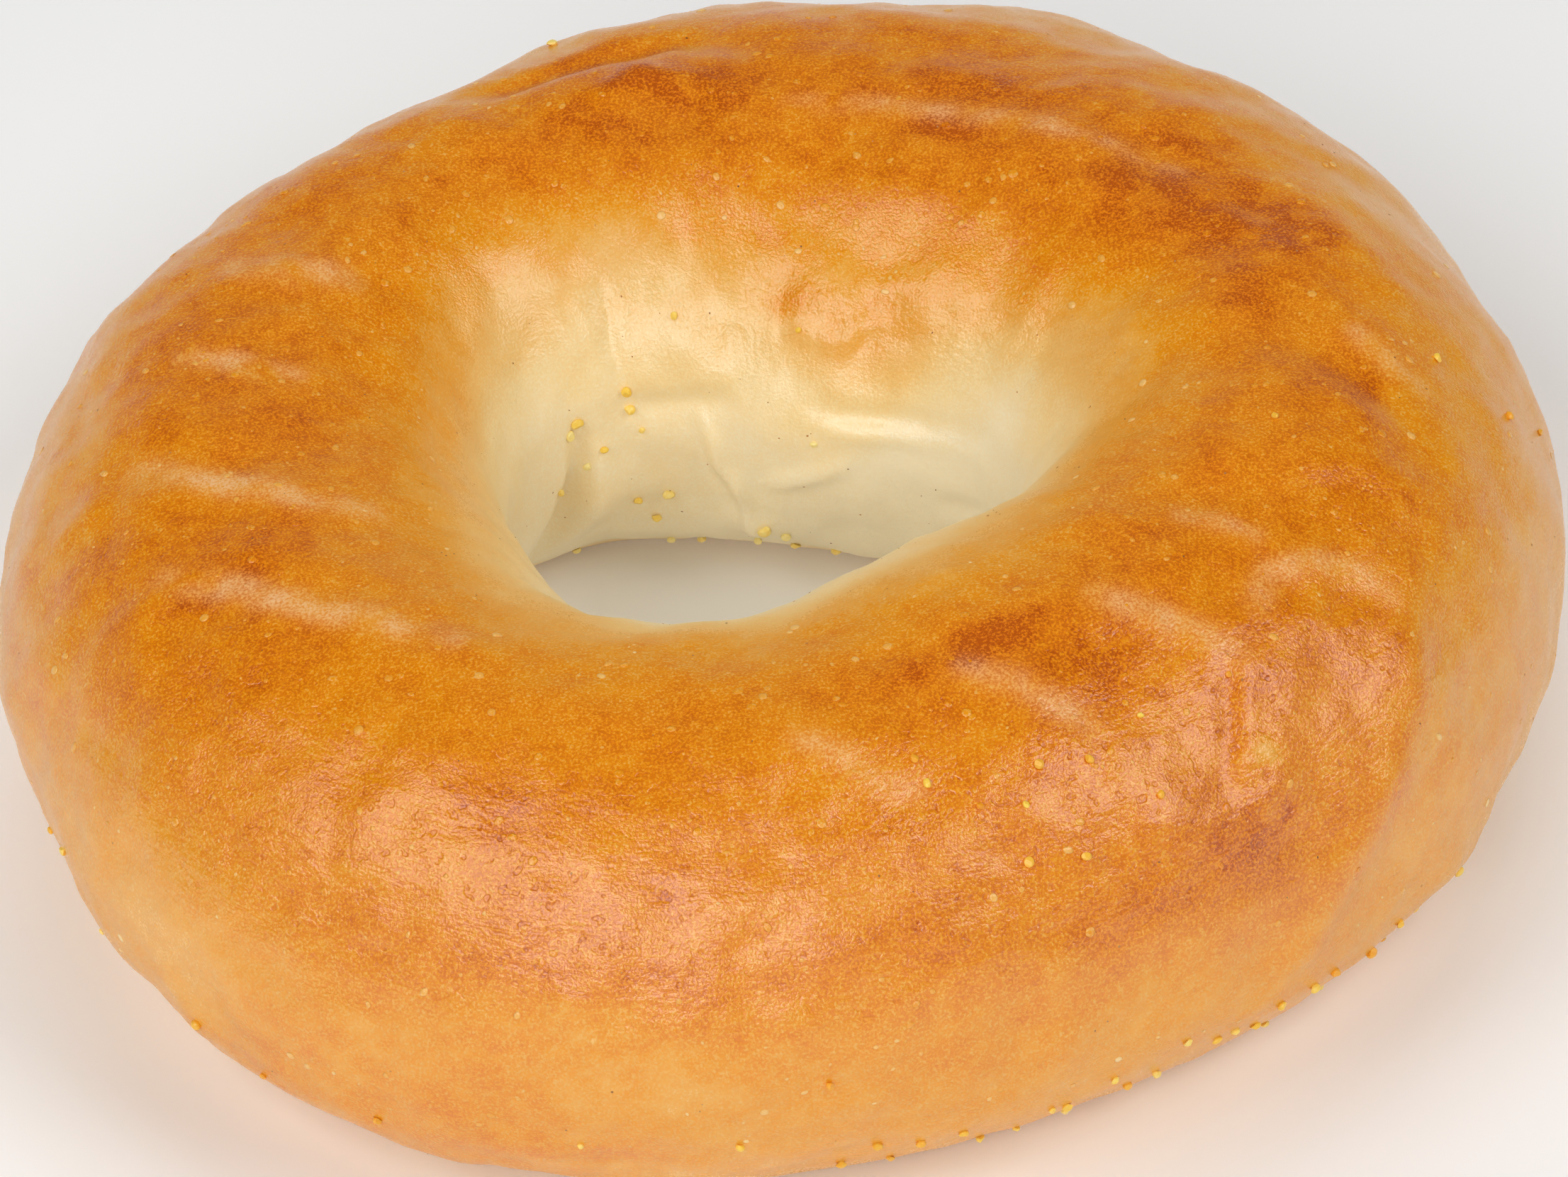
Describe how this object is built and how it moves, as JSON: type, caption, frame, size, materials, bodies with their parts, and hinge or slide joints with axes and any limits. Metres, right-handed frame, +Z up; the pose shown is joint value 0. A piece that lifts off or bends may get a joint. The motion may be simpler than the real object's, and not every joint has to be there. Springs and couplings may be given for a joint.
{
  "type": "bagel",
  "caption": "Plain hand-rolled bagel with a smooth golden crust, an off-round hole and cornmeal grains round its flat base.",
  "frame": {"origin": "on the flat base, under the middle of the bagel's length and width", "axes": "+Z up, out of the top of the bagel; -Y towards the side that faces the viewer in the picture, and +X to its right"},
  "size_m": [0.114, 0.1156, 0.0365],
  "materials": {
    "crust": "thin baked crust with a soft sheen, amber on top and cream round the hole and near the base"
  },
  "bodies": {
    "root": {"bagel": "crust"}
  },
  "joints": []
}
